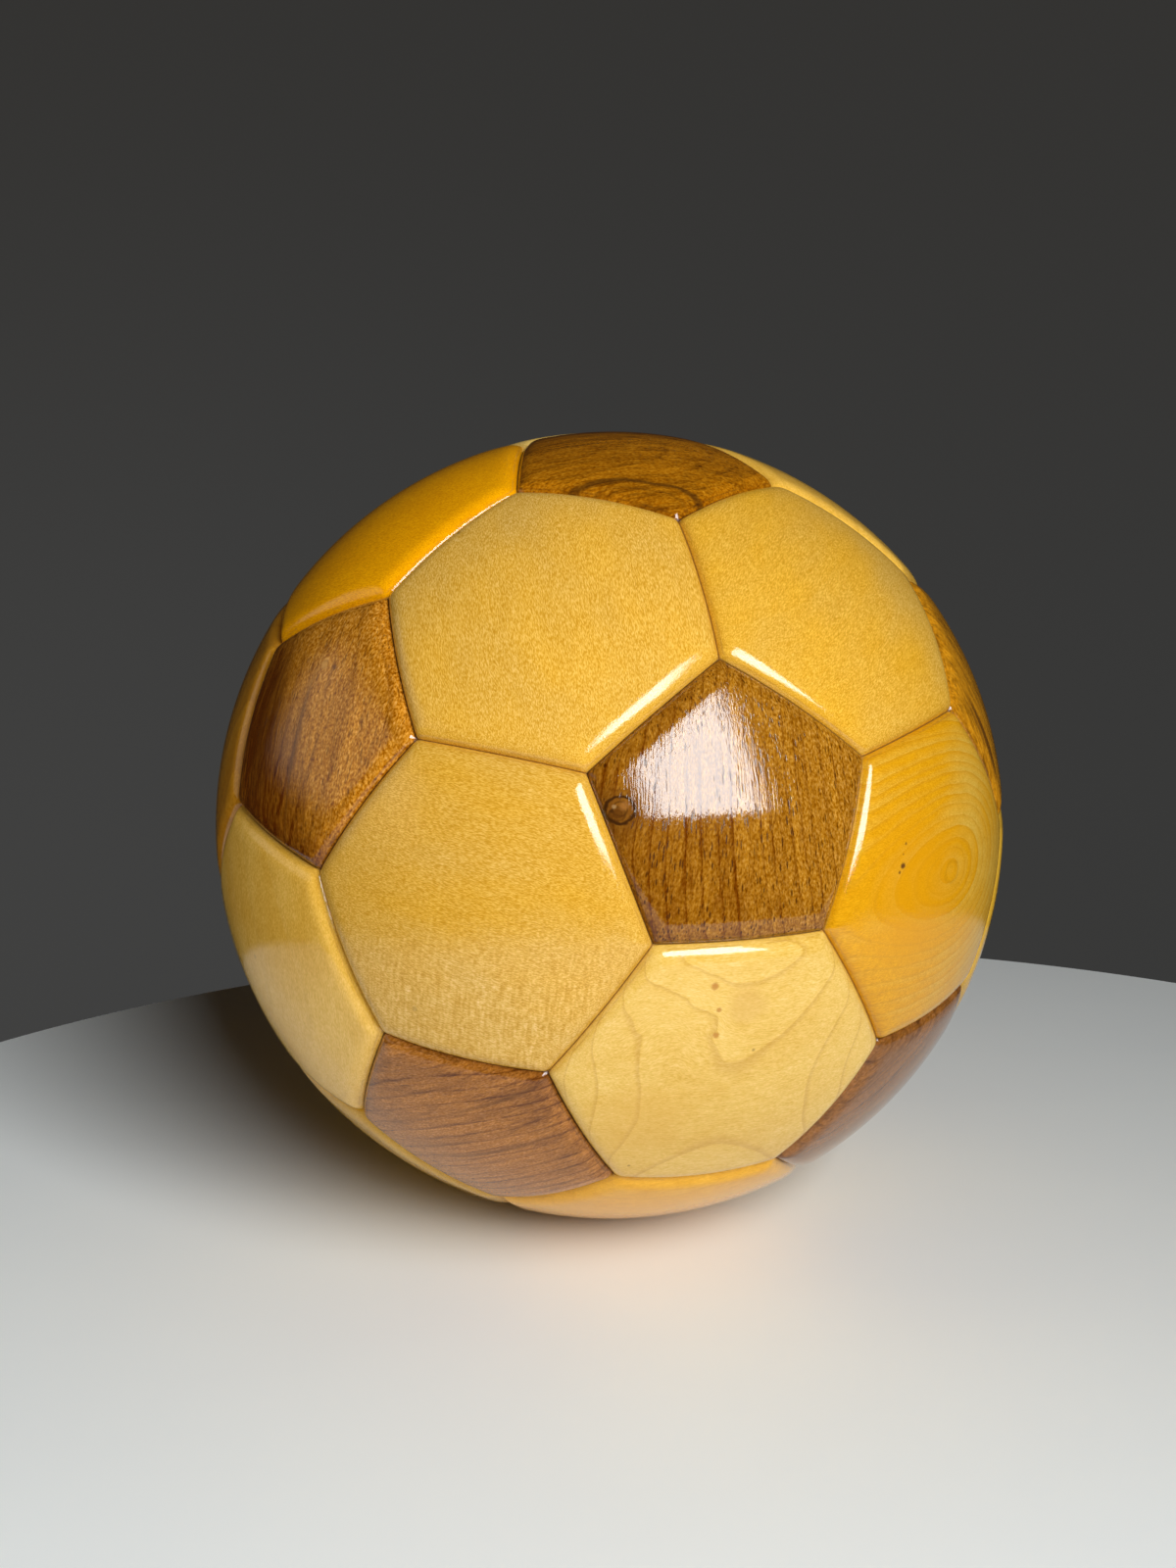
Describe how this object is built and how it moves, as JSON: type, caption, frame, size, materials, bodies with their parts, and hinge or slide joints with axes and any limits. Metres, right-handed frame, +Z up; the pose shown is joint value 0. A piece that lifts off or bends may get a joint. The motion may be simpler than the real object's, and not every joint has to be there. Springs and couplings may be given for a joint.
{
  "type": "wooden football",
  "caption": "Hollow wooden display football of mitred panels, dark walnut pentagons and pale maple hexagons, with rolled edges and a glossy lacquer.",
  "frame": {"origin": "the middle of the ball", "axes": "+Z is up, with the ball lying as it was set down on a table: the pole in the middle of the top pentagon leans 10.3 degrees towards -Y and 3.6 degrees towards +X; -Y is the side it is looked at from, and +X is to the right"},
  "size_m": [0.2196, 0.22, 0.2198],
  "materials": {
    "walnut": "dark walnut boards under clear gloss lacquer, open pores, streaked",
    "maple": "pale yellow maple boards under clear gloss lacquer, fine ray fleck"
  },
  "bodies": {
    "root": {"pentagon_top": "walnut", "pentagon_upper_1": "walnut", "pentagon_upper_2": "walnut", "pentagon_upper_3": "walnut", "pentagon_upper_4": "walnut", "pentagon_upper_5": "walnut", "pentagon_lower_1": "walnut", "pentagon_lower_2": "walnut", "pentagon_lower_3": "walnut", "pentagon_lower_4": "walnut", "pentagon_lower_5": "walnut", "pentagon_bottom": "walnut", "hexagon_top_1": "maple", "hexagon_top_2": "maple", "hexagon_top_3": "maple", "hexagon_top_4": "maple", "hexagon_top_5": "maple", "hexagon_upper_1": "maple", "hexagon_upper_2": "maple", "hexagon_upper_3": "maple", "hexagon_upper_4": "maple", "hexagon_upper_5": "maple", "hexagon_lower_1": "maple", "hexagon_lower_2": "maple", "hexagon_lower_3": "maple", "hexagon_lower_4": "maple", "hexagon_lower_5": "maple", "hexagon_bottom_1": "maple", "hexagon_bottom_2": "maple", "hexagon_bottom_3": "maple", "hexagon_bottom_4": "maple", "hexagon_bottom_5": "maple"}
  },
  "joints": []
}
